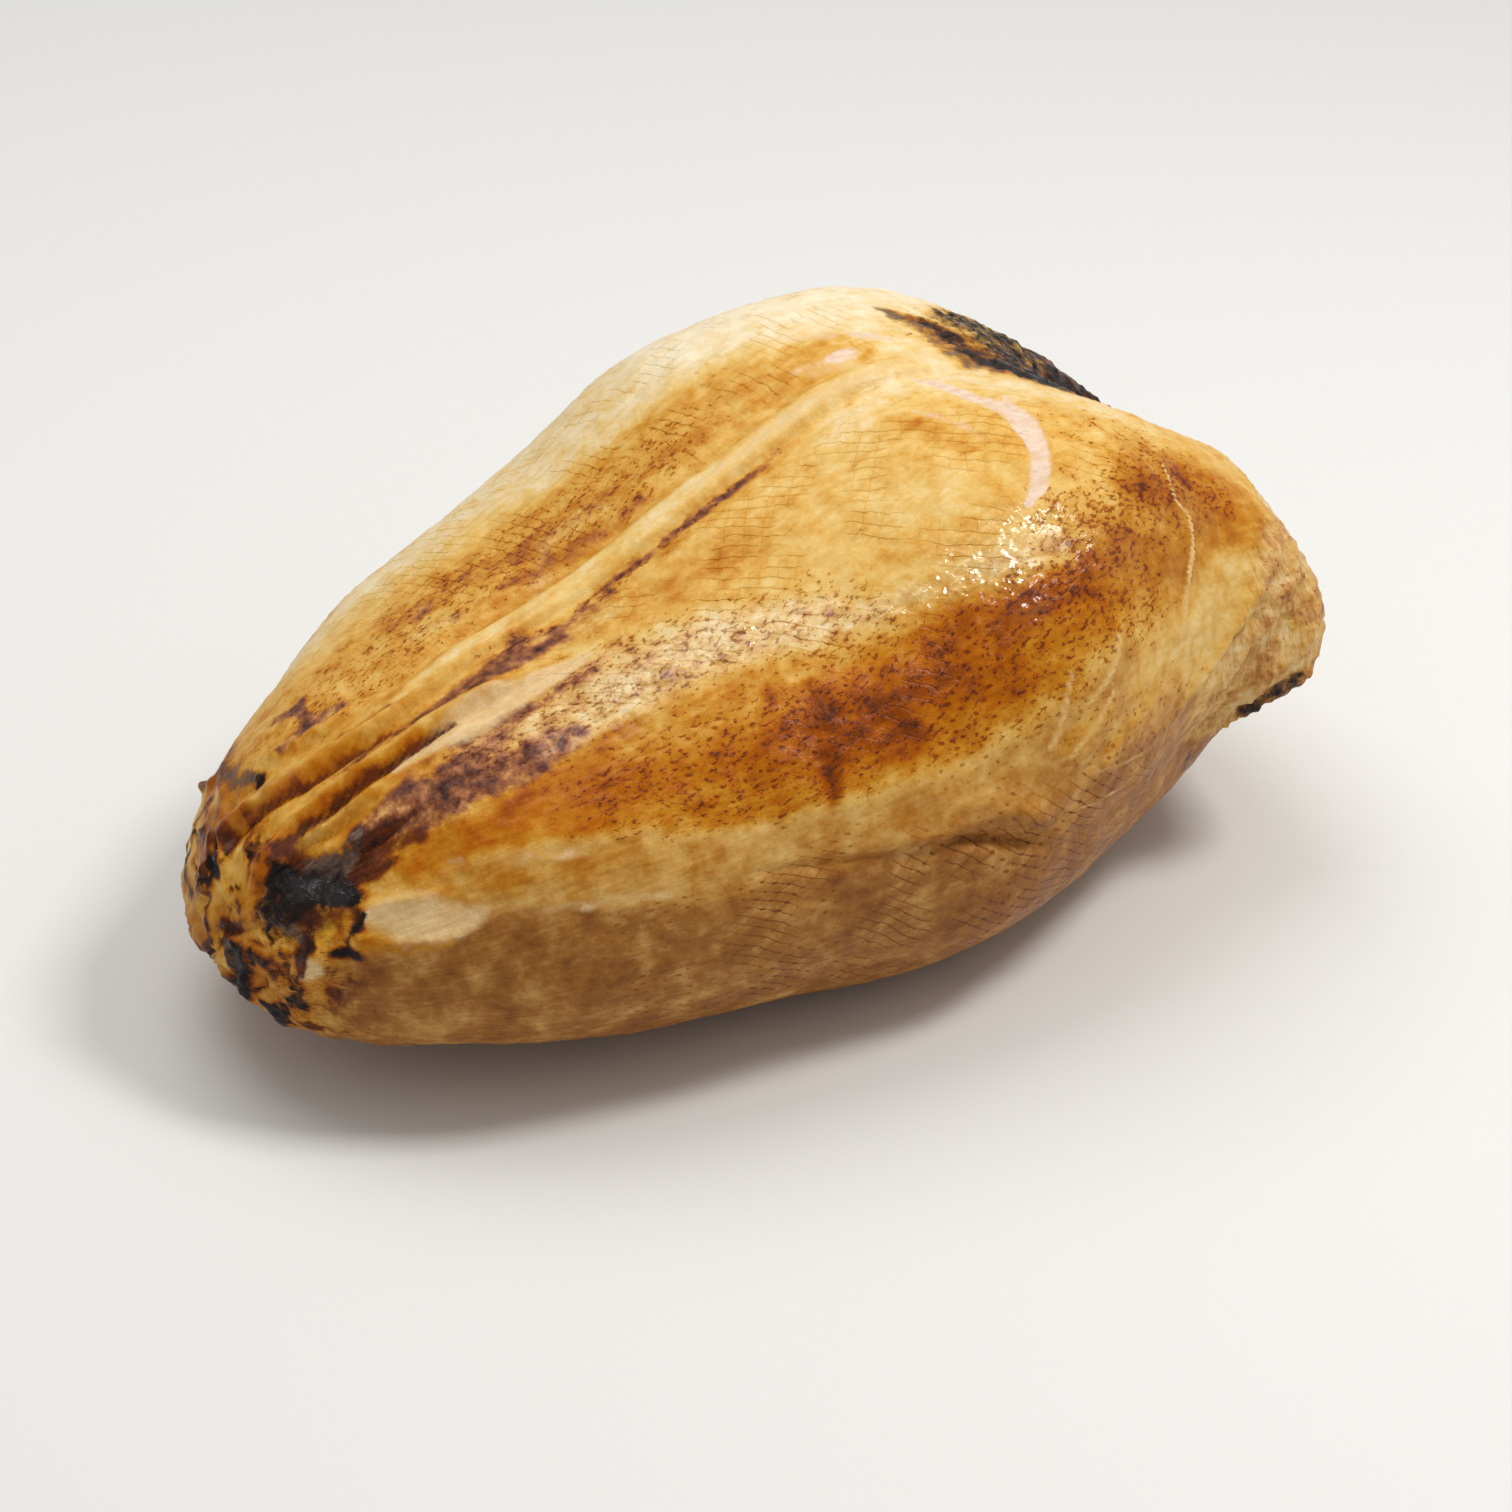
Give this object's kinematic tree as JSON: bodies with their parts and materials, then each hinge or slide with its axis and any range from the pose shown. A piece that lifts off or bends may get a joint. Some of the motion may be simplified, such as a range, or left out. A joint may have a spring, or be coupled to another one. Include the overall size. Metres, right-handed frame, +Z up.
{
  "type": "roast turkey crown",
  "caption": "Whole roast turkey breast on the bone, without legs or wings, lying on its back with browned, partly charred skin; served whole and carved at the table.",
  "frame": {"origin": "middle of the footprint of the bounding box, at the level that the crown rests on", "axes": "+X along the breastbone from the tail end to the neck end, +Y towards the bird's left breast, +Z up"},
  "size_m": [0.2772, 0.1764, 0.1219],
  "materials": {
    "roast_skin": "golden brown roast skin, basted and slightly glossy"
  },
  "bodies": {
    "root": {"turkey_crown": "roast_skin"}
  },
  "joints": []
}
